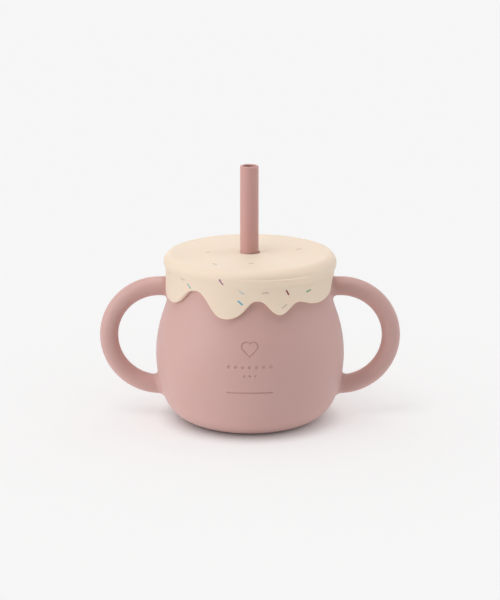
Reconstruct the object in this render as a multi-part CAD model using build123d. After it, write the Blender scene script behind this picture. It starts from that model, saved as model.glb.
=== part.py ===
"""Silicone straw cup for a baby: a pot-bellied cup with two ring handles, a stretch-on lid shaped
like dripping icing with sprinkle inlays, and a soft straw that slides through the lid.

Frame, in millimetres: origin at the centre of the base, +Z up, handles along X, front towards -Y.
"""
import os
from math import asin, atan2, cos, degrees, hypot, pi, radians, sin, sqrt

from build123d import *

# ---- cup: an outer profile of tangent arcs, turned about Z ----
BELLY_R = 42.5  # widest radius of the cup
BELLY_Z = 30.0  # height of the widest point
RIM_Z = 73.5  # top of the cup's rim
NECK_R = 34.85  # outer radius at the rim
FOOT_ARC = 16.4  # radius of the rounded bottom corner
LOWER_ARC = 54.3  # radius of the belly below its widest point
UPPER_ARC = 56.9  # radius of the belly above its widest point
WALL = 3.0  # silicone thickness all round
RIM_ROUND = 1.1
RECESS_R = 16.0  # shallow hollow under the base, which leaves a ring to stand on
RECESS_DEPTH = 0.8

# ---- handles, moulded in one with the cup ----
HANDLE_RING_R = 23.0  # centreline radius of each half ring
HANDLE_TUBE_R = 4.1
HANDLE_X = 40.7  # centre of the half ring
HANDLE_Z = 38.1
HANDLE_BLEND = 1.2  # fillet where a handle meets the cup

# ---- plain decoration pressed into the front ----
MARK_DEPTH = 0.4
HEART_Z = 42.6
HEART_LOBE = 2.2  # radius of its two round lobes
HEART_LINE = 0.55
DOT_ROWS = [(35.3, 0.7, 3.0, 7), (31.5, 0.45, 2.4, 3)]  # height, dot radius, step, number of dots
BAR_Z = 23.8
BAR_LENGTH = 20.0
BAR_WIDTH = 0.6

# ---- lid ----
SLIP = 0.12  # clearance between the lid and the cup
PLATE_GAP = 0.1  # clearance over the rim
TOP_Z = 76.85  # crest of the lid's rounded edge
DISH_Z = 76.7  # flat middle of the lid
DISH_R = 32.2
CREST_R = 34.8
BEAD_R = 38.75  # the lid's widest radius
BEAD_Z = 72.5
WAIST_R = 37.8  # narrow place just below the bead
WAIST_Z = 69.0
HEM_Z = 54.5  # lower limit of the skirt before the drips are cut
HEM_R = 39.3
PLUG_R_IN = 30.2  # ring that plugs the cup's mouth
PLUG_Z = 68.4
SKIRT_STEPS = 4  # points that define the skirt's outer curve

# The skirt's wavy edge passes smoothly through these points: angle from the front in degrees,
# towards +X, and height. At -90 and 90 it arches over a handle.
DRIPS = [
    (-90, 66.9), (-86.5, 66.4), (-84, 64.9), (-82, 62.8), (-79.5, 60.7), (-75, 59.0), (-69, 58.1),
    (-62.5, 57.9), (-57, 59.0), (-52, 61.35), (-47, 64.6), (-43, 65.6), (-38.5, 66.05), (-34, 65.0),
    (-28.5, 61.0), (-22.5, 56.8), (-16, 55.5), (-9, 56.6), (-3.5, 59.5), (1.5, 62.9), (5, 63.5),
    (9.5, 62.5), (15, 58.7), (20, 57.1), (26, 58.8), (31.5, 61.4), (36, 61.7), (42, 60.5), (50, 59.5),
    (58, 59.7), (65, 60.7), (70.5, 62.5), (74, 64.9), (78, 66.7), (84, 67.3), (90, 67.3), (93.5, 66.7),
    (96, 64.9), (98, 62.8), (100.5, 60.4), (105, 58.4), (110, 57.8), (116, 59.9), (121, 62.9),
    (126, 63.8), (131, 61.4), (136, 57.6), (141, 56.1), (146, 57.3), (151.5, 61.6), (157, 64.3),
    (162, 63.4), (168, 60.1), (174, 58.5), (180, 59.2), (185, 61.6), (190, 62.5), (196, 60.5),
    (202, 56.9), (208, 55.6), (214, 57.0), (221, 61.7), (228, 65.0), (234, 64.6), (240, 61.3),
    (246, 58.7), (251, 58.2), (256, 59.2), (260, 60.9), (262, 62.8), (264, 64.9), (266.5, 66.4),
]

# ---- straw and its hole ----
STRAW_R = 4.12
STRAW_BORE_R = 2.85
STRAW_FOOT_Z = 3.1
STRAW_TOP_Z = 116.0
STRAW_LIP_ROUND = 0.45
NOTCH_R = 1.9  # openings at the straw's foot, so that it can't seal on the floor
HOLE_R = 4.5
WIPER_R = 4.21  # lip at the bottom of the hole, which guides the straw
WIPER_LENGTH = 1.2
WIPER_TAPER = 1.0  # height over which the hole widens above the lip
SLEEVE_R = 7.5
SLEEVE_Z = 69.6

# ---- sprinkles: short rods set into the lid ----
SPRINKLE_R = 0.5
SPRINKLE_LENGTH = 3.2
SPRINKLE_SINK = 0.34  # depth of a rod's axis under the surface
# On the skirt: colour, angle from the front, height, tilt of the rod.
SIDE_SPRINKLES = [
    ("teal", -44.6, 67.8, -40), ("taupe", -50.6, 70.2, -5), ("rose", -70, 70.0, 10),
    ("purple", -18.8, 71.9, -57), ("blue", -6.4, 63.1, -41), ("blue", -5.5, 67.6, -31),
    ("rose", 10.2, 67.4, 3), ("red", 25.4, 66.8, -60), ("green", 42.3, 66.0, 12),
    ("taupe", 22.9, 60.9, 32), ("red", 99, 69.2, 15), ("blue", 110, 62.2, 62),
    ("green", 121, 68.0, -20), ("rose", 135, 65.6, 48), ("purple", 142, 60.2, -35),
    ("teal", 153, 68.4, 8), ("taupe", 168, 66.0, -48), ("red", 178, 62.8, 30),
    ("blue", 187, 67.9, -12), ("green", 203, 63.4, 55), ("purple", 209, 59.4, -8),
    ("rose", 219, 67.2, -42), ("teal", 236, 69.0, 25), ("red", 247, 62.8, -64),
    ("taupe", 256, 68.4, 10),
]
# On the flat top: colour, X, Y, turn of the rod.
TOP_SPRINKLES = [
    ("taupe", -18.9, -0.7, 42), ("taupe", -15.4, -22.9, -50), ("taupe", 0.4, -21.9, 41),
    ("taupe", 22.1, 5.4, 21), ("taupe", -8.4, 5.6, 5),
]


def profile_arcs(out):
    """The cup's profile, moved outwards by out: centre, radius, first and last angle of each arc.
    It runs from the base up to the rim, and each arc is tangent to the next."""
    lower = (BELLY_R - LOWER_ARC, BELLY_Z)
    upper = (BELLY_R - UPPER_ARC, BELLY_Z)
    foot_x = lower[0] + sqrt((LOWER_ARC - FOOT_ARC) ** 2 - (BELLY_Z - FOOT_ARC) ** 2)
    foot = (foot_x, FOOT_ARC)
    foot_end = degrees(atan2(foot[1] - lower[1], foot[0] - lower[0]))
    reach = NECK_R - upper[0]
    rise = RIM_Z - BELLY_Z
    neck_arc = (UPPER_ARC**2 - reach**2 - rise**2) / (2 * (reach - UPPER_ARC))
    neck = (NECK_R + neck_arc, RIM_Z)
    neck_start = degrees(atan2(neck[1] - upper[1], neck[0] - upper[0]))
    return [
        (foot, FOOT_ARC + out, -90, foot_end),
        (lower, LOWER_ARC + out, foot_end, 0),
        (upper, UPPER_ARC + out, 0, neck_start),
        (neck, neck_arc - out, neck_start + 180, 180),
    ]


def profile_edges(arcs):
    """Arcs as edges of the half section, in which local x is the radius and local y the height."""
    return [CenterArc(centre, radius, a, b - a) for centre, radius, a, b in arcs]


def profile_radius(z):
    """The cup's radius at height z, above the rounded bottom corner."""
    for centre, radius, a, b in profile_arcs(0)[1:]:
        heights = sorted(centre[1] + radius * sin(radians(t)) for t in (a, b))
        if heights[0] - 1e-6 <= z <= heights[1] + 1e-6:
            side = 1 if cos(radians((a + b) / 2)) > 0 else -1
            return centre[0] + side * sqrt(radius**2 - (z - centre[1]) ** 2)
    raise ValueError(f"no profile at height {z}")


def turned(edges):
    """The solid of revolution about Z of a closed half section."""
    return revolve(Plane.XZ * make_face(edges), Axis.Z)


def turned_profile(out, floor, top):
    """The cup's profile closed to the axis: a solid from the floor up to the top."""
    edges = profile_edges(profile_arcs(out))
    first, last = edges[0] @ 0, edges[-1] @ 1
    edges.append(Line((0, floor), (first.X, first.Y)))
    if top - last.Y > 1e-6:
        edges.append(Line((last.X, last.Y), (last.X, top)))
    edges.append(Line((last.X, top), (0, top)))
    edges.append(Line((0, top), (0, floor)))
    return turned(edges)


def handle(side):
    """A half ring of round section with two straight ends, which run into the cup's wall."""
    inside = NECK_R - WALL
    top = (side * HANDLE_X, HANDLE_Z + HANDLE_RING_R)
    bottom = (side * HANDLE_X, HANDLE_Z - HANDLE_RING_R)
    outer = (side * (HANDLE_X + HANDLE_RING_R), HANDLE_Z)
    path = Plane.XZ * Wire([
        Line((side * inside, top[1]), top),
        ThreePointArc(top, outer, bottom),
        Line(bottom, (side * inside, bottom[1])),
    ])
    section = Plane((side * inside, 0, top[1]), z_dir=(side, 0, 0)) * Circle(HANDLE_TUBE_R)
    return sweep(section, path=path)


def heart():
    """The outline of a plain heart: a square on its tip with a round lobe on each upper side."""
    filled = Rot(0, 0, 45) * Rectangle(2 * HEART_LOBE, 2 * HEART_LOBE)
    offset_xy = HEART_LOBE / sqrt(2)
    for side in (-1, 1):
        filled += Pos(side * offset_xy, offset_xy) * Circle(HEART_LOBE)
    return filled - offset(filled, amount=-HEART_LINE)


def marks():
    """Decoration as thin curved slabs, to be cut from the front of the cup."""
    sketch = Pos(0, HEART_Z) * heart()
    for z, radius, step, count in DOT_ROWS:
        for i in range(count):
            sketch += Pos((i - (count - 1) / 2) * step, z) * Circle(radius)
    sketch += Pos(0, BAR_Z) * SlotOverall(BAR_LENGTH, BAR_WIDTH)
    prism = extrude(Plane.XZ * sketch, 2 * BELLY_R)
    return prism - turned_profile(-MARK_DEPTH, MARK_DEPTH, RIM_Z)


def is_handle_root(edge):
    """True for an edge where a handle meets the cup's outer surface."""
    middle = edge @ 0.5
    if abs(middle.Y) > HANDLE_TUBE_R + 1 or not FOOT_ARC / 2 < middle.Z < RIM_Z - 1:
        return False
    return abs(hypot(middle.X, middle.Y) - profile_radius(middle.Z)) < 1e-3


def make_cup():
    outside = turned_profile(0, 0, RIM_Z)
    cup = outside + handle(1) + handle(-1)
    cup = fillet([edge for edge in cup.edges() if is_handle_root(edge)], HANDLE_BLEND)
    cup -= turned_profile(-WALL, WALL, RIM_Z)
    rim = [e for e in cup.edges().filter_by(GeomType.CIRCLE) if abs(e.center().Z - RIM_Z) < 1e-3]
    cup = fillet(rim, RIM_ROUND)
    recess = Cylinder(RECESS_R, RECESS_DEPTH, align=(Align.CENTER, Align.CENTER, Align.MIN))
    cup -= recess
    return cup - marks()


def around(angle, radius, z):
    """The point at an angle from the front, towards +X."""
    return (radius * sin(radians(angle)), -radius * cos(radians(angle)), z)


def skirt_radius(z):
    """Outer radius of the lid's side: it narrows below the bead, then spreads with the cup."""
    if z > WAIST_Z:
        t = (z - WAIST_Z) / (BEAD_Z - WAIST_Z)
        return WAIST_R + (BEAD_R - WAIST_R) * t * t * (3 - 2 * t)
    return WAIST_R + (HEM_R - WAIST_R) * ((WAIST_Z - z) / (WAIST_Z - HEM_Z)) ** 2


def drip_cutter():
    """What lies below the skirt's wavy edge: a ruled ring through the edge curve, carried down."""
    curves = [
        Spline(*[around(angle, radius, z) for angle, z in DRIPS], periodic=True)
        for radius in (NECK_R - WALL, HEM_R + 3)
    ]
    return extrude(Face.make_surface_from_curves(*curves), BELLY_Z, dir=(0, 0, -1))


def lid_edges():
    """The lid's closed half section: over the top, down the skirt and back underneath."""
    under = RIM_Z + PLATE_GAP
    shoulder = (CREST_R + (BEAD_R - CREST_R) * sin(pi / 4), BEAD_Z + (TOP_Z - BEAD_Z) * cos(pi / 4))
    heights = [WAIST_Z - (WAIST_Z - HEM_Z) * i / SKIRT_STEPS for i in range(SKIRT_STEPS + 1)]
    skirt = [(skirt_radius(z), z) for z in heights]
    skirt_end = (skirt[-1][0] - skirt[-2][0], skirt[-1][1] - skirt[-2][1])
    neck, neck_radius, _, _ = profile_arcs(SLIP)[-1]
    hem_angle = 180 + degrees(asin((neck[1] - HEM_Z) / neck_radius))
    hem_in = neck[0] + neck_radius * cos(radians(hem_angle))
    seat = NECK_R + SLIP
    plug_out = NECK_R - WALL - SLIP
    plug_mid = (plug_out + PLUG_R_IN) / 2
    plug_end = PLUG_Z + (plug_out - PLUG_R_IN) / 2
    wiper_top = SLEEVE_Z + WIPER_LENGTH
    return [
        Line((HOLE_R, DISH_Z), (DISH_R, DISH_Z)),
        Spline((DISH_R, DISH_Z), (CREST_R, TOP_Z), tangents=[(1, 0), (1, 0)]),
        Spline((CREST_R, TOP_Z), shoulder, (BEAD_R, BEAD_Z), tangents=[(1, 0), (0, -1)]),
        Spline((BEAD_R, BEAD_Z), skirt[0], tangents=[(0, -1), (0, -1)]),
        Spline(*skirt, tangents=[(0, -1), skirt_end]),
        Line(skirt[-1], (hem_in, HEM_Z)),
        CenterArc(neck, neck_radius, hem_angle, 180 - hem_angle),
        Line((seat, RIM_Z), (seat, under)),
        Line((seat, under), (plug_out, under)),
        Line((plug_out, under), (plug_out, plug_end)),
        ThreePointArc((plug_out, plug_end), (plug_mid, PLUG_Z), (PLUG_R_IN, plug_end)),
        Line((PLUG_R_IN, plug_end), (PLUG_R_IN, under)),
        Line((PLUG_R_IN, under), (SLEEVE_R, under)),
        Line((SLEEVE_R, under), (SLEEVE_R, SLEEVE_Z)),
        Line((SLEEVE_R, SLEEVE_Z), (WIPER_R, SLEEVE_Z)),
        Line((WIPER_R, SLEEVE_Z), (WIPER_R, wiper_top)),
        Line((WIPER_R, wiper_top), (HOLE_R, wiper_top + WIPER_TAPER)),
        Line((HOLE_R, wiper_top + WIPER_TAPER), (HOLE_R, DISH_Z)),
    ]


def sprinkle(place):
    """A short rod with round ends, whose axis lies along the local x of a place."""
    shaft = SPRINKLE_LENGTH - 2 * SPRINKLE_R
    rod = Rot(0, 90, 0) * Cylinder(SPRINKLE_R, shaft)
    for end in (-1, 1):
        rod += Pos(end * shaft / 2, 0, 0) * Sphere(SPRINKLE_R)
    return place * rod


def sprinkles():
    """Every sprinkle by colour. The local z of a place points out of the lid."""
    colours = {}
    for colour, angle, z, tilt in SIDE_SPRINKLES:
        outward = Vector(*around(angle, 1, skirt_radius(z - 0.5) - skirt_radius(z + 0.5)))
        level = Vector(cos(radians(angle)), sin(radians(angle)), 0)
        place = Plane(around(angle, skirt_radius(z), z), x_dir=level, z_dir=outward)
        place = place * Rot(0, 0, tilt) * Pos(0, 0, -SPRINKLE_SINK)
        colours.setdefault(colour, []).append(sprinkle(place))
    for colour, x, y, turn in TOP_SPRINKLES:
        place = Pos(x, y, DISH_Z - SPRINKLE_SINK) * Rot(0, 0, turn)
        colours.setdefault(colour, []).append(sprinkle(place))
    return colours


def make_lid():
    return turned(lid_edges()) - drip_cutter()


def make_straw():
    length = STRAW_TOP_Z - STRAW_FOOT_Z
    upright = (Align.CENTER, Align.CENTER, Align.MIN)
    tube = Cylinder(STRAW_R, length, align=upright) - Cylinder(STRAW_BORE_R, length, align=upright)
    tube = fillet(tube.edges().group_by(Axis.Z)[-1], STRAW_LIP_ROUND)
    for turn in (0, 90):
        tube -= Rot(0, 0, turn) * Rot(90, 0, 0) * Cylinder(NOTCH_R, 4 * STRAW_R)
    return Pos(0, 0, STRAW_FOOT_Z) * tube


def main():
    os.makedirs("parts", exist_ok=True)
    parts = {"cup_body": make_cup(), "lid": make_lid(), "straw": make_straw()}
    for colour, rods in sprinkles().items():
        parts[f"sprinkles_{colour}"] = Compound(children=rods)
    for node, shape in parts.items():
        shape.label = node
        export_step(shape, f"parts/{node}.step")


main()
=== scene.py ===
"""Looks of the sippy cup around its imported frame: silicone cup, icing lid, straw and sprinkles.

Shapes are worked out in millimetres in the row frame (origin at the centre of the base, +Z up,
front towards -Y) and become metres when a mesh is made.
"""
import math

import bmesh
import bpy
import numpy as np
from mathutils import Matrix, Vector


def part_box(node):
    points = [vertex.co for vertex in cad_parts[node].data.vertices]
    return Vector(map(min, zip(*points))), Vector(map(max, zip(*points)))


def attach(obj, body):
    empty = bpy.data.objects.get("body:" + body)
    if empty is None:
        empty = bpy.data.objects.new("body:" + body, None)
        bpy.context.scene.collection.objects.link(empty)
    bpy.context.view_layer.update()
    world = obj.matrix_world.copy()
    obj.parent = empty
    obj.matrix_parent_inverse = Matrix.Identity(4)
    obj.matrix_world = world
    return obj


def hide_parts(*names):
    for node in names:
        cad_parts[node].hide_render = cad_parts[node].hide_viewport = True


MM = 0.001
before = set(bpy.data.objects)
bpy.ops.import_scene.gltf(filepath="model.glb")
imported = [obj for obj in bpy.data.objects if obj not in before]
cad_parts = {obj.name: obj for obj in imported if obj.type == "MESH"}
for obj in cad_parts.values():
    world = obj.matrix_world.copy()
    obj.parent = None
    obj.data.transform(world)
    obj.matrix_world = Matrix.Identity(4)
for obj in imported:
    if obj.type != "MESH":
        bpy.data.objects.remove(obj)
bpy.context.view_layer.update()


def node_box(node):
    """Lowest and highest corner of a CAD node, in millimetres."""
    low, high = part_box(node)
    return np.array(low) / MM, np.array(high) / MM


cup_high = node_box("cup_body")[1]
lid_high = node_box("lid")[1]
straw_low, straw_high = node_box("straw")

# ---- cup ----
BELLY_R = cup_high[1]
BELLY_Z = 30.0
RIM_Z = cup_high[2]
NECK_R = 34.85
FOOT_ARC = 16.4  # radius of the rounded bottom corner
LOWER_ARC = 54.3  # radius of the side below the belly
UPPER_ARC = 56.9  # radius of the side above it, up to the neck's hollow curve
WALL = 3.0
RECESS_R = 16.0  # hollow under the base
RECESS_DEPTH = 0.8
RECESS_BLEND = 0.4
HANDLE_RING_R = 23.0  # radius of a handle's centreline
HANDLE_TUBE_R = 4.1
HANDLE_SWELL = 0.17  # extra radius of a handle's tube at the cup
HANDLE_X = cup_high[0] - HANDLE_RING_R - HANDLE_TUBE_R
HANDLE_Z = 38.1
HANDLE_BLEND = 3.0  # reach of the soft blend where a handle meets the cup
HANDLE_ROOTS = (34.2, 38.7)  # X inside the wall where a handle's centreline starts at the top and bottom
RIM_BLEND = 2.0
CUP_TURNS = 160  # columns of the rough mesh
HANDLE_SIDES = 32
ARC_POINTS = 14
CUP_VOXEL = 0.7

# ---- marks pressed into the front ----
MARK_DEPTH = 0.4
MARK_EDGE = 0.16  # width over which a mark's side falls
MARK_REACHES = (1.1, 0.7, 0.45)  # distances from a mark's edge within which the mesh is split again
HEART_Z = 42.6
HEART_LOBE = 2.2  # radius of its two round lobes
HEART_LINE = 0.55
DOT_Z = 35.3
DOT_R = 0.7
DOT_STEP = 3.0
DOT_COUNT = 7
SMALL_DOT_Z = 31.5
SMALL_DOT_R = 0.45
SMALL_DOT_STEP = 2.4
SMALL_DOT_COUNT = 3
BAR_Z = 23.8
BAR_LENGTH = 20.0
BAR_WIDTH = 0.6

# ---- lid ----
SLIP = 0.12  # gap between the lid and the cup
PLATE_GAP = 0.1  # gap between the lid's plate and the cup's rim
TOP_Z = lid_high[2]
DISH_Z = TOP_Z - 0.15
DISH_R = 32.2  # radius of the flat top
CREST_R = 34.8
BEAD_R = lid_high[0]
BEAD_Z = 72.5
BEAD_TILT = 0.7  # how much higher the bead sits on the left, and lower on the right
SHOULDER_FALL = 0.35  # how much flatter the bead's shoulder falls on the left
WAIST_R = 37.8  # the skirt's narrowest place, under the bead
WAIST_Z = 69.0
HEM_Z = 54.5
HEM_R = 39.3
PLUG_R_IN = 30.2
PLUG_Z = 68.4
EDGE_ROUND = 0.9  # rounding along the drips' edge
EDGE_CHAMFER = 0.15  # small slope at the inner corner of the drips' edge
HOLE_R = 4.5
HOLE_ROUND = 0.15
SLEEVE_R = 7.5
SLEEVE_Z = 69.6
SLEEVE_ROUND = 0.5
SLEEVE_HOLE_ROUND = 0.4
LID_TURNS = 720  # columns of the lid's mesh
SEAM_TURN = 83.0  # place on the bead's shoulder where the mould's halves met, from 0 on top to 90
SEAM_STEP = 0.5  # depth of the small step there, which shows at the front right
SEAM_SLOPE = 2.0  # how fast the step rounds off upwards, in the same degrees
SEAM_FALL = 30.0  # how fast it dies out further up
SEAM_ENDS = (-8.0, 43.0)  # angles from the front where the step begins and ends
SEAM_FADES = (13.0, 4.0)  # angles over which it grows and shrinks there

# The skirt's wavy edge passes smoothly through these points: angle from the front in degrees,
# towards +X, and height. At -90 and 90 it arches over a handle.
DRIPS = [
    (-90, 66.9), (-86.5, 66.4), (-84, 64.9), (-82, 62.8), (-79.5, 60.7), (-75, 59.0), (-69, 58.1),
    (-62.5, 57.9), (-57, 59.0), (-52, 61.35), (-47, 64.6), (-43, 65.6), (-38.5, 66.05), (-34, 65.0),
    (-28.5, 61.0), (-22.5, 56.8), (-16, 55.5), (-9, 56.6), (-3.5, 59.5), (1.5, 62.9), (5, 63.5),
    (9.5, 62.5), (15, 58.7), (20, 57.1), (26, 58.8), (31.5, 61.4), (36, 61.7), (42, 60.5), (50, 59.5),
    (58, 59.7), (65, 60.7), (70.5, 62.5), (74, 64.9), (78, 66.7), (84, 67.3), (90, 67.3), (93.5, 66.7),
    (96, 64.9), (98, 62.8), (100.5, 60.4), (105, 58.4), (110, 57.8), (116, 59.9), (121, 62.9),
    (126, 63.8), (131, 61.4), (136, 57.6), (141, 56.1), (146, 57.3), (151.5, 61.6), (157, 64.3),
    (162, 63.4), (168, 60.1), (174, 58.5), (180, 59.2), (185, 61.6), (190, 62.5), (196, 60.5),
    (202, 56.9), (208, 55.6), (214, 57.0), (221, 61.7), (228, 65.0), (234, 64.6), (240, 61.3),
    (246, 58.7), (251, 58.2), (256, 59.2), (260, 60.9), (262, 62.8), (264, 64.9), (266.5, 66.4),
]

# ---- straw ----
STRAW_R = 4.12
STRAW_BORE_R = 2.85
STRAW_LIP = 0.5  # height of its rounded lip
STRAW_NOTCH_R = 1.9  # the four round openings at its foot
STRAW_SHIFT = -0.3  # the straw rests against the left of its hole
STRAW_TURNS = 128

# ---- sprinkles ----
SPRINKLE_R = 0.5
SPRINKLE_LENGTH = 3.2
SPRINKLE_SINK = 0.36  # how deep a rod's axis lies under the surface
# On the skirt: colour, angle from the front, height, tilt of the rod, and how far the cream
# silicone veils it, from 0 for a rod at the surface to 1 for one too deep to see.
SIDE_SPRINKLES = [
    ("teal", -44.6, 67.8, -40, 0.15), ("taupe", -50.6, 70.2, -5, 0.6), ("rose", -70, 70.0, 10, 0.75),
    ("purple", -18.8, 71.9, -57, 0.05), ("blue", -6.4, 63.1, -41, 0.0), ("blue", -5.5, 67.6, -31, 0.65),
    ("rose", 10.2, 67.4, 3, 0.4), ("red", 25.4, 66.8, -60, 0.0), ("green", 42.3, 66.0, 12, 0.1),
    ("taupe", 22.9, 60.9, 32, 0.55), ("red", 99, 69.2, 15, 0.1), ("blue", 110, 62.2, 62, 0.0),
    ("green", 121, 68.0, -20, 0.5), ("rose", 135, 65.6, 48, 0.2), ("purple", 142, 60.2, -35, 0.1),
    ("teal", 153, 68.4, 8, 0.4), ("taupe", 168, 66.0, -48, 0.5), ("red", 178, 62.8, 30, 0.0),
    ("blue", 187, 67.9, -12, 0.5), ("green", 203, 63.4, 55, 0.1), ("purple", 209, 59.4, -8, 0.3),
    ("rose", 219, 67.2, -42, 0.1), ("teal", 236, 69.0, 25, 0.2), ("red", 247, 62.8, -64, 0.1),
    ("taupe", 256, 68.4, 10, 0.6),
]
# On the flat top: colour, X, Y, turn of the rod, veil.
TOP_SPRINKLES = [
    ("taupe", -18.9, -0.7, 42, 0.6), ("taupe", -15.4, -22.9, -50, 0.3), ("taupe", 0.4, -21.9, 41, 0.35),
    ("taupe", 22.1, 5.4, 21, 0.3), ("taupe", -8.4, 5.6, 5, 0.75),
]


# ======== shapes as formulas ========

LOWER_C = (BELLY_R - LOWER_ARC, BELLY_Z)
UPPER_C = (BELLY_R - UPPER_ARC, BELLY_Z)
FOOT_C = (
    LOWER_C[0] + math.sqrt((LOWER_ARC - FOOT_ARC) ** 2 - (BELLY_Z - FOOT_ARC) ** 2),
    FOOT_ARC,
)
NECK_ARC = (UPPER_ARC**2 - (NECK_R - UPPER_C[0]) ** 2 - (RIM_Z - BELLY_Z) ** 2) / (
    2 * (NECK_R - UPPER_C[0] - UPPER_ARC)
)
NECK_C = (NECK_R + NECK_ARC, RIM_Z)


def profile_distance(r, z):
    """Signed distance from the cup's outer profile, made of tangent arcs: negative inside."""
    def beyond(a, b):
        return (b[0] - a[0]) * (z - a[1]) - (b[1] - a[1]) * (r - a[0]) > 0

    foot = np.where(r > FOOT_C[0], np.hypot(r - FOOT_C[0], z - FOOT_C[1]) - FOOT_ARC, -z)
    lower = np.hypot(r - LOWER_C[0], z - LOWER_C[1]) - LOWER_ARC
    upper = np.hypot(r - UPPER_C[0], z - UPPER_C[1]) - UPPER_ARC
    neck = NECK_ARC - np.hypot(r - NECK_C[0], z - NECK_C[1])
    neck = np.where(z > RIM_Z, r - NECK_R, neck)
    distance = np.where(beyond(LOWER_C, FOOT_C), lower, foot)
    distance = np.where(z > BELLY_Z, upper, distance)
    return np.where((z > BELLY_Z) & beyond(UPPER_C, NECK_C), neck, distance)


def neck_radius(z, out=0.0):
    """The cup's radius above its belly, moved outwards by out."""
    return NECK_C[0] - np.sqrt((NECK_ARC - out) ** 2 - (np.minimum(z, RIM_Z) - NECK_C[1]) ** 2)


def soft_min(a, b, reach):
    """The smaller of two distances, rounded off where they are within reach of each other."""
    share = np.maximum(reach - np.abs(a - b), 0) / reach
    return np.minimum(a, b) - share * share * reach / 4


def soft_max(a, b, reach):
    return -soft_min(-a, -b, reach)


def handle_distance(x, y, z):
    """Signed distance from the two handles' tubes, which thicken a little towards the cup."""
    x = np.abs(x)
    up = z - HANDLE_Z
    reach = np.clip((x - HANDLE_X) / HANDLE_RING_R, 0, 1)
    ring = np.abs(np.hypot(x - HANDLE_X, up) - HANDLE_RING_R)
    ends = np.abs(np.abs(up) - HANDLE_RING_R)
    from_centreline = np.hypot(np.where(x > HANDLE_X, ring, ends), y)
    return from_centreline - HANDLE_TUBE_R - HANDLE_SWELL * (1 - reach**2)


def heart_distance(x, z):
    """Signed distance from a filled heart: a square on its tip with a round lobe on each upper side."""
    x = np.abs(x)
    u, v = (x + z) / math.sqrt(2), (z - x) / math.sqrt(2)
    square = np.maximum(np.abs(u), np.abs(v)) - HEART_LOBE
    middle = HEART_LOBE / math.sqrt(2)
    lobe = np.hypot(x - middle, z - middle) - HEART_LOBE
    return np.minimum(square, lobe)


def marks_distance(x, z):
    """Signed distance from the pressed marks, seen from the front: negative inside a mark."""
    distance = np.abs(heart_distance(x, z - HEART_Z) + HEART_LINE / 2) - HEART_LINE / 2
    for row_z, radius, step, count in (
        (DOT_Z, DOT_R, DOT_STEP, DOT_COUNT),
        (SMALL_DOT_Z, SMALL_DOT_R, SMALL_DOT_STEP, SMALL_DOT_COUNT),
    ):
        for i in range(count):
            centre = (i - (count - 1) / 2) * step
            distance = np.minimum(distance, np.hypot(x - centre, z - row_z) - radius)
    along = np.maximum(np.abs(x) - (BAR_LENGTH - BAR_WIDTH) / 2, 0)
    return np.minimum(distance, np.hypot(along, z - BAR_Z) - BAR_WIDTH / 2)


def cup_field(points):
    """Zero on the cup's surface, negative in the silicone, and close to a distance near it."""
    x, y, z = points.T
    r = np.hypot(x, y)
    body = profile_distance(r, z)
    outside = soft_min(body, handle_distance(x, y, z), HANDLE_BLEND)
    pressed = 1 / (1 + np.exp(np.clip(marks_distance(x, z) / MARK_EDGE * 4, -40, 40)))
    outside = outside + np.where(y < 0, MARK_DEPTH * pressed, 0)
    shell = soft_max(outside, -(body + WALL), RIM_BLEND)
    shell = soft_max(shell, z - RIM_Z, RIM_BLEND)
    recess = np.maximum(r - RECESS_R, z - RECESS_DEPTH)
    return soft_max(shell, -recess, RECESS_BLEND)


def gradient(field, points, step=0.01):
    """How fast a field rises along X, Y and Z at each point."""
    slopes = []
    for axis in range(3):
        move = np.zeros(3)
        move[axis] = step
        slopes.append((field(points + move) - field(points - move)) / (2 * step))
    return np.stack(slopes, axis=1)


# ======== mesh helpers ========

def mesh_object(name, points, faces, smooth=True):
    """A mesh object from points in millimetres."""
    mesh = bpy.data.meshes.new(name)
    mesh.from_pydata([tuple(p) for p in np.asarray(points) * MM], [], faces)
    mesh.validate()
    if smooth:
        mesh.shade_smooth()
    piece = bpy.data.objects.new(name, mesh)
    bpy.context.scene.collection.objects.link(piece)
    return piece


def grid_faces(columns, rows):
    """Quads of a closed ring of columns, each with the same number of points, closed both ways."""
    faces = []
    for c in range(columns):
        here, there = c * rows, (c + 1) % columns * rows
        for i in range(rows):
            j = (i + 1) % rows
            faces.append((here + i, there + i, there + j, here + j))
    return faces


def mesh_points(mesh):
    """A mesh's points in millimetres."""
    points = np.empty(len(mesh.vertices) * 3)
    mesh.vertices.foreach_get("co", points)
    return points.reshape(-1, 3) / MM


def arc_points(centre, radius, start, end, count):
    """Points on an arc of the half section, without its last one."""
    angles = np.radians(np.linspace(start, end, count, endpoint=False))
    return [(centre[0] + radius * math.cos(a), centre[1] + radius * math.sin(a)) for a in angles]


def around(angle, radius, z):
    """The point at an angle in degrees from the front, towards +X."""
    return np.array([radius * math.sin(math.radians(angle)), -radius * math.cos(math.radians(angle)), z])


# ======== cup ========

def lathe(section, columns):
    """Points and faces of a half section turned about Z. The section starts and ends on the axis."""
    ring = section[1:-1]
    points = [(0, 0, section[0][1])]
    for c in range(columns):
        angle = 2 * math.pi * c / columns
        points += [(r * math.cos(angle), r * math.sin(angle), z) for r, z in ring]
    points.append((0, 0, section[-1][1]))
    rows = len(ring)
    faces = []
    for c in range(columns):
        here, there = 1 + c * rows, 1 + (c + 1) % columns * rows
        faces.append((0, there, here))
        for i in range(rows - 1):
            faces.append((here + i, there + i, there + i + 1, here + i + 1))
        faces.append((here + rows - 1, there + rows - 1, len(points) - 1))
    return points, faces


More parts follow.
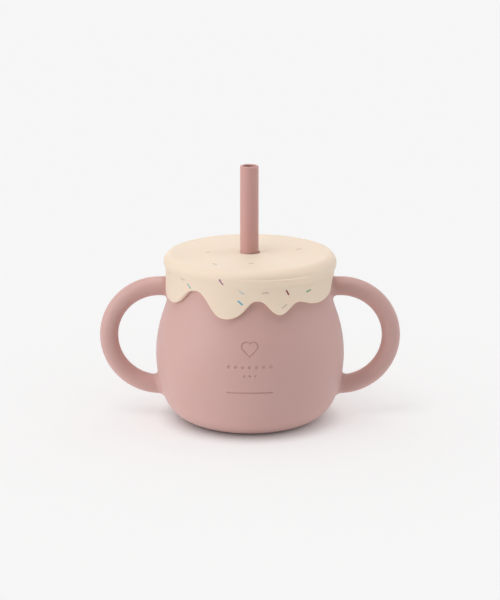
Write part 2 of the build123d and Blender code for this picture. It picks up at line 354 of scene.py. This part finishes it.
def tube(path, radius, sides):
    """Points and faces of a closed tube along a path in the XZ plane."""
    path = np.array(path)
    along = np.gradient(path, axis=0)
    along /= np.linalg.norm(along, axis=1)[:, None]
    points, faces = [], []
    for (x, z), (ax, az) in zip(path, along):
        for i in range(sides):
            a = 2 * math.pi * i / sides
            out, across = radius * math.cos(a), radius * math.sin(a)
            points.append((x - az * out, across, z + ax * out))
    for c in range(len(path) - 1):
        for i in range(sides):
            j = (i + 1) % sides
            here, there = c * sides, (c + 1) * sides
            faces.append((here + i, here + j, there + j, there + i))
    faces.append(tuple(range(sides))[::-1])
    faces.append(tuple(range((len(path) - 1) * sides, len(path) * sides)))
    return points, faces


def cup_section():
    """The cup's half section as points: under the base, up the outside, over the rim, down the inside."""
    foot_end = math.degrees(math.atan2(FOOT_C[1] - LOWER_C[1], FOOT_C[0] - LOWER_C[0]))
    neck_start = math.degrees(math.atan2(NECK_C[1] - UPPER_C[1], NECK_C[0] - UPPER_C[0]))

    def side(out):
        return (
            arc_points(FOOT_C, FOOT_ARC + out, -90, foot_end, ARC_POINTS)
            + arc_points(LOWER_C, LOWER_ARC + out, foot_end, 0, ARC_POINTS)
            + arc_points(UPPER_C, UPPER_ARC + out, 0, neck_start, ARC_POINTS)
            + arc_points(NECK_C, NECK_ARC - out, 180 + neck_start, 180, ARC_POINTS)
            + [(NECK_R + out, RIM_Z)]
        )

    base = [(0, RECESS_DEPTH), (RECESS_R, RECESS_DEPTH), (RECESS_R, 0)]
    return base + side(0) + side(-WALL)[::-1] + [(0, WALL)]


def handle_path(side):
    """One handle's centreline from inside the wall at the top to inside the wall at the bottom."""
    top_x, bottom_x = HANDLE_ROOTS
    top = [(x, HANDLE_Z + HANDLE_RING_R) for x in np.linspace(top_x, HANDLE_X, 6, endpoint=False)]
    ring = arc_points((HANDLE_X, HANDLE_Z), HANDLE_RING_R, 90, -90, 64)
    bottom = [(x, HANDLE_Z - HANDLE_RING_R) for x in np.linspace(HANDLE_X, bottom_x, 3)]
    return [(side * x, z) for x, z in top + ring + bottom]


def refine_near_marks(mesh):
    """Splits the faces at the pressed marks until they can carry the marks' edges."""
    bm = bmesh.new()
    bm.from_mesh(mesh)
    for reach in MARK_REACHES:
        centres = np.array([face.calc_center_median() for face in bm.faces]) / MM
        radii = np.hypot(centres[:, 0], centres[:, 1])
        outer = profile_distance(radii, centres[:, 2]) > -WALL / 2
        near = np.abs(marks_distance(centres[:, 0], centres[:, 2])) < reach
        wanted = np.nonzero(near & outer & (centres[:, 1] < 0))[0]
        bm.faces.ensure_lookup_table()
        # a dict, so that each edge comes once and in the same order each time
        edges = dict.fromkeys(edge for i in wanted for edge in bm.faces[i].edges)
        bmesh.ops.subdivide_edges(bm, edges=list(edges), cuts=1, use_grid_fill=True)
    bm.to_mesh(mesh)
    bm.free()


def settle(mesh, field, rounds=5, longest_move=0.5):
    """Moves a mesh's points onto the surface where the field is zero, and takes its normals from it."""
    flattest, tiny = 0.05, 1e-9
    points = mesh_points(mesh)
    for _ in range(rounds):
        slope = gradient(field, points)
        steep = np.maximum((slope**2).sum(axis=1), flattest)
        move = slope * (field(points) / steep)[:, None]
        length = np.linalg.norm(move, axis=1)[:, None]
        points -= move * np.minimum(1, longest_move / np.maximum(length, tiny))
    mesh.vertices.foreach_set("co", (points * MM).ravel())
    mesh.update()
    normals = gradient(field, points)
    normals /= np.maximum(np.linalg.norm(normals, axis=1), tiny)[:, None]
    mesh.normals_split_custom_set_from_vertices([tuple(n) for n in normals])


def make_cup():
    """The cup with its handles: a rough mesh of even faces, moved onto the cup's formula."""
    points, faces = lathe(cup_section(), CUP_TURNS)
    for side in (-1, 1):
        more, more_faces = tube(handle_path(side), HANDLE_TUBE_R, HANDLE_SIDES)
        faces += [tuple(len(points) + i for i in face) for face in more_faces]
        points += more
    rough = mesh_object("cup_rough", points, faces, smooth=False)
    remesh = rough.modifiers.new("remesh", "REMESH")
    remesh.mode = "VOXEL"
    remesh.voxel_size = CUP_VOXEL * MM
    depsgraph = bpy.context.evaluated_depsgraph_get()
    mesh = bpy.data.meshes.new_from_object(rough.evaluated_get(depsgraph))
    bpy.data.objects.remove(rough)
    refine_near_marks(mesh)
    mesh.shade_smooth()
    settle(mesh, cup_field)
    mesh.name = "cup"
    cup = bpy.data.objects.new("cup", mesh)
    bpy.context.scene.collection.objects.link(cup)
    return cup


# ======== lid ========

def edge_height(angles):
    """Height of the drips' edge at angles from the front: a closed cubic spline through DRIPS."""
    knots, heights = np.array(DRIPS, dtype=float).T
    steps = np.diff(np.append(knots, knots[0] + 360))
    rises = np.diff(np.append(heights, heights[0])) / steps
    count = len(knots)
    system = np.zeros((count, count))
    for i in range(count):
        system[i, i - 1] += steps[i - 1]
        system[i, i] += 2 * (steps[i - 1] + steps[i])
        system[i, (i + 1) % count] += steps[i]
    bends = np.linalg.solve(system, 6 * (rises - np.roll(rises, 1)))
    angles = (angles - knots[0]) % 360 + knots[0]
    i = np.searchsorted(knots, angles, side="right") - 1
    step, t = steps[i], angles - knots[i]
    after = np.roll(bends, -1)[i]
    slope = rises[i] - step * (2 * bends[i] + after) / 6
    return heights[i] + t * (slope + t * (bends[i] / 2 + t * (after - bends[i]) / (6 * step)))


def bead_share(z, bead_z):
    """How much the bead widens the lid at a height: 0 at the waist, 1 at the bead's widest line."""
    t = np.clip((z - WAIST_Z) / (bead_z - WAIST_Z), 0, 1)
    return t * t * (3 - 2 * t)


def bead_height(angles):
    """Height of the bead's widest line, which sits a little higher on the left."""
    return BEAD_Z - BEAD_TILT * np.sin(np.radians(angles))


def skirt_radius(z, angles):
    """Outer radius of the lid's side from the bead downwards."""
    spread = (np.maximum(WAIST_Z - z, 0) / (WAIST_Z - HEM_Z)) ** 2
    return WAIST_R + (HEM_R - WAIST_R) * spread + (BEAD_R - WAIST_R) * bead_share(z, bead_height(angles))


def seam_step(turn_down, angles):
    """How far the shoulder is set in above the mould line. It fades out upwards and sideways."""
    start, end = SEAM_ENDS
    growth, shrinkage = SEAM_FADES
    fade = np.clip((angles - start) / growth, 0, 1) * np.clip((end - angles) / shrinkage, 0, 1)
    above = max(SEAM_TURN - turn_down, 0)
    return SEAM_STEP * fade * (1 - math.exp(-above / SEAM_SLOPE)) * math.exp(-above / SEAM_FALL)


def lid_columns():
    """The lid's half sections, one for each angle, as arrays of radius and height."""
    angles = np.linspace(-180, 180, LID_TURNS, endpoint=False)
    edge = edge_height(angles)
    turn = math.radians(360 / LID_TURNS)
    slope = (np.roll(edge, -1) - np.roll(edge, 1)) / (2 * turn * HEM_R)
    stretch = np.sqrt(1 + slope**2)
    ones = np.ones(LID_TURNS)
    rows = []

    def row(r, z):
        rows.append((r * ones, z * ones))

    # the hole's rounded mouth and the flat top
    for a in np.radians(np.linspace(0, 90, 6)):
        row(HOLE_R + HOLE_ROUND * (1 - math.cos(a)), DISH_Z - HOLE_ROUND * (1 - math.sin(a)))
    for r in np.linspace(HOLE_R + 0.8, DISH_R - 0.4, 34):
        row(r, DISH_Z)
    # the low step up to the crest
    for t in np.linspace(0, 1, 12):
        row(DISH_R + (CREST_R - DISH_R) * t, DISH_Z + (TOP_Z - DISH_Z) * t * t * (3 - 2 * t))
    # the bead's rounded shoulder, down to its widest line, with close rows at the mould line
    bead_z = bead_height(angles)
    left = np.maximum(-np.sin(np.radians(angles)), 0)
    above, below = np.linspace(4, SEAM_TURN - 7, 24), np.linspace(SEAM_TURN + 1.5, 90, 4)
    near = SEAM_TURN + np.array([-5, -3.6, -2.6, -1.8, -1.2, -0.7, -0.3, 0, 0.2])
    for turn_down in np.concatenate([above, near, below]):
        a = math.radians(turn_down)
        inset = seam_step(turn_down, angles)
        radius = CREST_R + (BEAD_R - CREST_R - inset) * math.sin(a)
        rise = (TOP_Z - bead_z - inset) * math.cos(a) ** (1 + SHOULDER_FALL * left)
        rows.append((radius, bead_z + rise))
    # from the bead down to the waist
    for t in np.linspace(0, 1, 16)[1:]:
        height = bead_z + (WAIST_Z - bead_z) * t
        rows.append((skirt_radius(height, angles), height))
    # the skirt, down to the drips' rounded edge
    bends = np.radians(np.linspace(90, 0, 10))
    nose = np.append(EDGE_ROUND + 0.3, EDGE_ROUND * (1 - np.cos(bends)))
    start = edge + nose[0] * stretch
    for t in np.linspace(0, 1, 26)[1:-1]:
        height = WAIST_Z + (start - WAIST_Z) * t
        rows.append((skirt_radius(height, angles), height))
    for d, cut in zip(nose, np.append(0, EDGE_ROUND * (1 - np.sin(bends)))):
        height = edge + d * stretch
        rows.append((skirt_radius(height, angles) - cut, height))
    bottom = skirt_radius(edge, angles) - EDGE_ROUND
    for t in (0.5, 1.0):
        rows.append((bottom + (neck_radius(edge, SLIP) + EDGE_CHAMFER - bottom) * t, edge))
    # the inside of the skirt, up to the plate
    under = RIM_Z + PLATE_GAP
    for t in np.linspace(0, 1, 14)[1:]:
        height = edge + (RIM_Z - edge) * t
        rows.append((neck_radius(height, SLIP), height))
    row(NECK_R + SLIP, under)
    # the ring that plugs the cup's mouth
    plug_out = NECK_R - WALL - SLIP
    plug_middle, plug_half = (plug_out + PLUG_R_IN) / 2, (plug_out - PLUG_R_IN) / 2
    row(plug_out, under)
    for a in np.radians(np.linspace(0, 180, 13)):
        row(plug_middle + plug_half * math.cos(a), PLUG_Z + plug_half * (1 - math.sin(a)))
    row(PLUG_R_IN, under)
    for r in np.linspace(PLUG_R_IN - 1, SLEEVE_R + 1, 12):
        row(r, under)
    # the sleeve under the hole
    row(SLEEVE_R, under)
    quarter = np.radians(np.linspace(0, 90, 5))
    for a in quarter:
        row(SLEEVE_R - SLEEVE_ROUND * (1 - math.cos(a)), SLEEVE_Z + SLEEVE_ROUND * (1 - math.sin(a)))
    for a in quarter:
        row(HOLE_R + SLEEVE_HOLE_ROUND * (1 - math.sin(a)), SLEEVE_Z + SLEEVE_HOLE_ROUND * (1 - math.cos(a)))
    return angles, np.array(rows)


def make_lid():
    """The lid: its half sections joined all the way round."""
    angles, rows = lid_columns()
    turn = np.radians(angles)
    radius, height = rows[:, 0, :], rows[:, 1, :]
    points = np.stack([radius * np.sin(turn), -radius * np.cos(turn), height], axis=2)
    points = points.transpose(1, 0, 2).reshape(-1, 3)
    return mesh_object("lid_icing", points, grid_faces(LID_TURNS, len(rows)))


# ======== straw ========

def make_straw():
    """The straw: up its outside, over the lip and down the bore."""
    foot, lip_z = straw_low[2], straw_high[2] - STRAW_LIP
    angles = np.linspace(0, 2 * math.pi, STRAW_TURNS, endpoint=False)

    def foot_height(radius):
        """Height of the foot's edge, which rises into the four openings."""
        across = np.minimum(np.abs(radius * np.cos(angles)), np.abs(radius * np.sin(angles)))
        return foot + np.sqrt(np.maximum(STRAW_NOTCH_R**2 - across**2, 0))

    ones = np.ones(STRAW_TURNS)
    rows = []
    outer_foot, inner_foot = foot_height(STRAW_R), foot_height(STRAW_BORE_R)
    for t in np.linspace(0, 1, 40) ** 1.5:
        rows.append((STRAW_R * ones, outer_foot + (lip_z - outer_foot) * t))
    middle, half = (STRAW_R + STRAW_BORE_R) / 2, (STRAW_R - STRAW_BORE_R) / 2
    for a in np.radians(np.linspace(0, 180, 17)[1:]):
        rows.append(((middle + half * math.cos(a)) * ones, (lip_z + STRAW_LIP * math.sin(a)) * ones))
    for t in np.linspace(1, 0, 40)[1:]:
        rows.append((STRAW_BORE_R * ones, inner_foot + (lip_z - inner_foot) * t))
    rows = np.array(rows)
    radius, height = rows[:, 0, :], rows[:, 1, :]
    points = np.stack([STRAW_SHIFT + radius * np.cos(angles), radius * np.sin(angles), height], axis=2)
    points = points.transpose(1, 0, 2).reshape(-1, 3)
    return mesh_object("straw_tube", points, grid_faces(STRAW_TURNS, len(rows)))


# ======== sprinkles ========

def capsule(centre, along, up, points, faces):
    """Adds a short rod with round ends to lists of points and faces."""
    side = np.cross(up, along)
    sides = 16
    half = SPRINKLE_LENGTH / 2 - SPRINKLE_R
    offset = len(points)
    rings = []
    for end, bends in ((-half, np.linspace(-90, 0, 6)[1:]), (half, np.linspace(0, 90, 6)[:-1])):
        for bend in np.radians(bends):
            rings.append((end + SPRINKLE_R * math.sin(bend), SPRINKLE_R * math.cos(bend)))
    points.append(centre - along * (half + SPRINKLE_R))
    for x, r in rings:
        for i in range(sides):
            a = 2 * math.pi * i / sides
            points.append(centre + along * x + (up * math.cos(a) + side * math.sin(a)) * r)
    points.append(centre + along * (half + SPRINKLE_R))
    last = len(points) - 1
    for i in range(sides):
        j = (i + 1) % sides
        faces.append((offset, offset + 1 + j, offset + 1 + i))
        for c in range(len(rings) - 1):
            here, there = offset + 1 + c * sides, offset + 1 + (c + 1) * sides
            faces.append((here + i, here + j, there + j, there + i))
        end = offset + 1 + (len(rings) - 1) * sides
        faces.append((end + i, end + j, last))


def make_sprinkles():
    """One piece for each colour, with its rods flush in the lid's surface."""
    colours = {}
    for colour, angle, z, tilt, veil in SIDE_SPRINKLES:
        radii = skirt_radius(np.array([z - 0.5, z, z + 0.5]), np.full(3, float(angle)))
        up = around(angle, 1, radii[0] - radii[2])
        up /= np.linalg.norm(up)
        level = around(angle + 90, 1, 0)
        steep = np.cross(level, -up)
        along = level * math.cos(math.radians(tilt)) + steep * math.sin(math.radians(tilt))
        centre = around(angle, radii[1], z) - up * SPRINKLE_SINK
        colours.setdefault(colour, []).append((centre, along, up, veil))
    for colour, x, y, turn, veil in TOP_SPRINKLES:
        along = np.array([math.cos(math.radians(turn)), math.sin(math.radians(turn)), 0])
        centre = np.array([x, y, DISH_Z - SPRINKLE_SINK])
        colours.setdefault(colour, []).append((centre, along, np.array([0.0, 0.0, 1.0]), veil))
    pieces = {}
    for colour, rods in colours.items():
        points, faces, veils = [], [], []
        for centre, along, up, veil in rods:
            before = len(points)
            capsule(centre, along, up, points, faces)
            veils += [veil] * (len(points) - before)
        piece = mesh_object(f"sprinkles_{colour}_set", points, faces)
        piece.data.attributes.new("veil", "FLOAT", "POINT").data.foreach_set("value", veils)
        pieces[colour] = piece
    return pieces


# ======== materials ========

CLOUD_SCALE = 38  # noise scales of the soft clouds, the patches of sheen and the fine grain
PATCH_SCALE = 120
GRAIN_SCALE = 2600
GRAIN_HEIGHT = 0.00005
ROUGH_SPREAD = 0.06  # how far the roughness goes up and down over the patches
SCATTER_DEPTH = 0.0015
SPRINKLE_SHADE = 0.93  # a sprinkle's darker tone, as a share of its colour
PAINTED_GLOW_STRENGTH = 0.37  # painted glow that fills the floor with light, though the floor is no lamp
PAINTED_SHADOW_REACH = 0.009  # distance from the cup over which the painted glow fades, a painted contact shadow
# how sharply the painted contact shadow deepens towards the cup
PAINTED_SHADOW_FADE = 0.7
LID_CREAM = (246, 227, 207)
SPRINKLE_TONES = {
    "teal": (125, 190, 190), "taupe": (190, 165, 150), "rose": (207, 160, 158), "purple": (178, 118, 155),
    "blue": (110, 180, 207), "red": (158, 64, 78), "green": (120, 177, 135),
}


def srgb(r, g, b):
    """A colour given in display values from 0 to 255, as scene-linear."""
    def one(v):
        v /= 255
        return v / 12.92 if v <= 0.04045 else ((v + 0.055) / 1.055) ** 2.4
    return (one(r), one(g), one(b), 1.0)


def silicone(name, colour, shade, rough, scatter, gloss=0.35, sheen=0.05, veil=None):
    """Matte silicone: two close tones in soft clouds, uneven sheen and a fine grain.

    The tones are display colours. A veil is a third one that lies over them, as strongly as the
    mesh's veil attribute says.
    """
    material = bpy.data.materials.new(name)
    material.use_nodes = True
    nodes, links = material.node_tree.nodes, material.node_tree.links
    shader = nodes["Principled BSDF"]
    place = nodes.new("ShaderNodeTexCoord")

    def noise(scale, detail, roughness=0.5):
        node = nodes.new("ShaderNodeTexNoise")
        node.inputs["Scale"].default_value = scale
        node.inputs["Detail"].default_value = detail
        node.inputs["Roughness"].default_value = roughness
        links.new(place.outputs["Object"], node.inputs["Vector"])
        return node

    clouds = noise(CLOUD_SCALE, 4)
    mix = nodes.new("ShaderNodeMix")
    mix.data_type = "RGBA"
    mix.inputs["A"].default_value = srgb(*colour)
    mix.inputs["B"].default_value = srgb(*shade)
    links.new(clouds.outputs["Fac"], mix.inputs["Factor"])
    links.new(mix.outputs["Result"], shader.inputs["Base Color"])
    if veil:
        depth = nodes.new("ShaderNodeAttribute")
        depth.attribute_name = "veil"
        over = nodes.new("ShaderNodeMix")
        over.data_type = "RGBA"
        over.inputs["B"].default_value = srgb(*veil)
        links.new(depth.outputs["Fac"], over.inputs["Factor"])
        links.new(mix.outputs["Result"], over.inputs["A"])
        links.new(over.outputs["Result"], shader.inputs["Base Color"])

    patches = noise(PATCH_SCALE, 6, 0.6)
    spread = nodes.new("ShaderNodeMapRange")
    spread.inputs["To Min"].default_value = rough - ROUGH_SPREAD
    spread.inputs["To Max"].default_value = rough + ROUGH_SPREAD
    links.new(patches.outputs["Fac"], spread.inputs["Value"])
    links.new(spread.outputs["Result"], shader.inputs["Roughness"])

    grain = noise(GRAIN_SCALE, 2, 0.6)
    relief = nodes.new("ShaderNodeBump")
    relief.inputs["Strength"].default_value = 0.25
    relief.inputs["Distance"].default_value = GRAIN_HEIGHT
    links.new(grain.outputs["Fac"], relief.inputs["Height"])
    links.new(relief.outputs["Normal"], shader.inputs["Normal"])

    shader.inputs["Specular IOR Level"].default_value = gloss
    shader.inputs["Subsurface Weight"].default_value = scatter
    shader.inputs["Subsurface Radius"].default_value = (1.0, 0.55, 0.45)
    shader.inputs["Subsurface Scale"].default_value = SCATTER_DEPTH
    shader.inputs["Sheen Weight"].default_value = sheen
    shader.inputs["Sheen Roughness"].default_value = 0.5
    return material


def paper():
    """White paper with a painted glow of fill light, which fades where the cup stands over it into a painted
    contact shadow.
    """
    material = bpy.data.materials.new("floor_paper")
    material.use_nodes = True
    nodes, links = material.node_tree.nodes, material.node_tree.links
    shader = nodes["Principled BSDF"]
    shader.inputs["Base Color"].default_value = (0.7, 0.7, 0.7, 1)
    shader.inputs["Roughness"].default_value = 0.9
    shader.inputs["Specular IOR Level"].default_value = 0.0
    # painted contact shadow: the paper's glow dims where the cup hides it from the open
    painted_shadow_occlusion = nodes.new("ShaderNodeAmbientOcclusion")
    painted_shadow_occlusion.samples = 8
    painted_shadow_occlusion.inputs["Distance"].default_value = PAINTED_SHADOW_REACH
    painted_glow = nodes.new("ShaderNodeMath")
    painted_glow.operation = "POWER"
    painted_glow.inputs[1].default_value = PAINTED_SHADOW_FADE
    links.new(painted_shadow_occlusion.outputs["AO"], painted_glow.inputs[0])
    links.new(painted_glow.outputs["Value"], shader.inputs["Emission Color"])
    # painted light: the paper itself glows
    shader.inputs["Emission Strength"].default_value = PAINTED_GLOW_STRENGTH
    return material


def dress(piece, material):
    """Gives a piece its one material."""
    piece.data.materials.clear()
    piece.data.materials.append(material)


# ======== the object ========

cup = make_cup()
dress(cup, silicone("cup_silicone", (214, 173, 166), (208, 166, 160), 0.52, 0.12, gloss=0.5, sheen=0.15))
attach(cup, "cup")
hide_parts("cup_body")

lid = make_lid()
dress(lid, silicone("lid_silicone", LID_CREAM, (242, 222, 199), 0.6, 0.25))
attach(lid, "lid")
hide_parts("lid")

straw = make_straw()
dress(straw, silicone("straw_silicone", (212, 165, 159), (206, 159, 153), 0.5, 0.15))
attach(straw, "straw")
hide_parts("straw")

sprinkle_sets = make_sprinkles()
for colour, piece in sprinkle_sets.items():
    tone = SPRINKLE_TONES[colour]
    shade = [SPRINKLE_SHADE * v for v in tone]
    dress(piece, silicone(f"sprinkle_{colour}", tone, shade, 0.6, 0.1, veil=LID_CREAM))
    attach(piece, "lid")
    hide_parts(f"sprinkles_{colour}")


# ======== floor, light and camera ========

FLOOR_HALF = 20000.0
corners = [(x * FLOOR_HALF, y * FLOOR_HALF, 0) for x, y in ((-1, -1), (1, -1), (1, 1), (-1, 1))]
floor = mesh_object("floor", corners, [(0, 1, 2, 3)], smooth=False)
dress(floor, paper())

scene = bpy.context.scene
scene.view_settings.view_transform = "Standard"
world = bpy.data.worlds.new("studio")
scene.world = world
world.use_nodes = True
sky = world.node_tree.nodes["Background"]
sky.inputs["Color"].default_value = (1, 1, 1, 1)
sky.inputs["Strength"].default_value = 0.06


def receivers(name, members):
    """A collection of the objects that a light falls on."""
    group = bpy.data.collections.new(name)
    for member in members:
        group.objects.link(member)
    return group


def sun(name, azimuth, elevation, strength, spread, lit):
    """A soft distant light on the objects in lit. Azimuth 0 is the front, and positive is the right."""
    lamp = bpy.data.lights.new(name, "SUN")
    lamp.energy = strength
    lamp.angle = math.radians(spread)
    light = bpy.data.objects.new(name, lamp)
    scene.collection.objects.link(light)
    a, e = math.radians(azimuth), math.radians(elevation)
    towards = Vector((math.sin(a) * math.cos(e), -math.cos(a) * math.cos(e), math.sin(e)))
    light.rotation_mode = "QUATERNION"
    light.rotation_quaternion = towards.to_track_quat("Z", "Y")
    light.light_linking.receiver_collection = lit


ground = receivers("ground", [floor])
product = receivers("product", [piece for piece in scene.objects if piece.type == "MESH" and piece != floor])
icing = receivers("icing", [lid, *sprinkle_sets.values()])
sun("key", -60, 20, 1.3, 50, receivers("cup_and_straw", [cup, straw]))
sun("key_icing", -50, 10, 1.62, 80, icing)
sun("left", -95, 15, 0.45, 60, product)
sun("right", 95, 15, 0.82, 50, product)
sun("top", 0, 88, 1.95, 60, product)
sun("back", 180, 10, 0.95, 60, product)
sun("ground_top", 0, 89, 1.92, 140, ground)
sun("ground_left", -45, 65, 0.41, 30, ground)

CAMERA_TILT = 14.81  # degrees downwards
CAMERA_DISTANCE = 0.9
CAMERA_TARGET = Vector((0, 0, 0.05445))
CAMERA_LENS = 120
camera_data = bpy.data.cameras.new("camera")
camera_data.lens = CAMERA_LENS
camera_data.sensor_width = 36
camera = bpy.data.objects.new("camera", camera_data)
scene.collection.objects.link(camera)
tilt = math.radians(CAMERA_TILT)
back = Vector((0, -math.cos(tilt), math.sin(tilt)))
camera.location = CAMERA_TARGET + back * CAMERA_DISTANCE
camera.rotation_mode = "QUATERNION"
camera.rotation_quaternion = back.to_track_quat("Z", "Y")
camera_data.clip_start = 0.05
camera_data.clip_end = 60
scene.camera = camera
